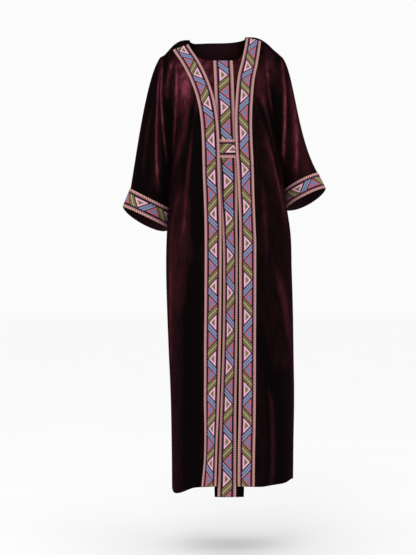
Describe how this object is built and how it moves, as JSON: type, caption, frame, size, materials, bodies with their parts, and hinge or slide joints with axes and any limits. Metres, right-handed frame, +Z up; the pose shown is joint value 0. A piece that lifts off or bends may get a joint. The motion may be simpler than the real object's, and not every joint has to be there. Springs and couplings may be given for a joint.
{
  "type": "bisht, an open-fronted velvet robe, with its centre panel and belt",
  "caption": "Long open-fronted velvet robe with wide sleeves and patterned trim, in the hollow form it has when worn, over its own trimmed centre panel and belt.",
  "frame": {"origin": "the nape, where the middle of the back neckline rests on the wearer", "axes": "+Z up along the wearer's height, -Y towards the robe's front, -X towards the robe's own right side"},
  "size_m": [0.6299, 0.353, 1.402],
  "materials": {
    "velvet": "burgundy velvet with a soft, directional nap that looks near black in its folds",
    "trim": "woven geometric trim in pink, mauve, violet-blue, olive and cream, matt with a slight thread lustre"
  },
  "bodies": {
    "root": {"front_right": "velvet", "front_left": "velvet", "back": "velvet", "sleeve_right": "velvet", "sleeve_left": "velvet", "centre_panel": "velvet", "band_right": "trim", "band_left": "trim", "cuff_right": "trim", "cuff_left": "trim", "centre_band": "trim", "belt": "trim"}
  },
  "joints": []
}
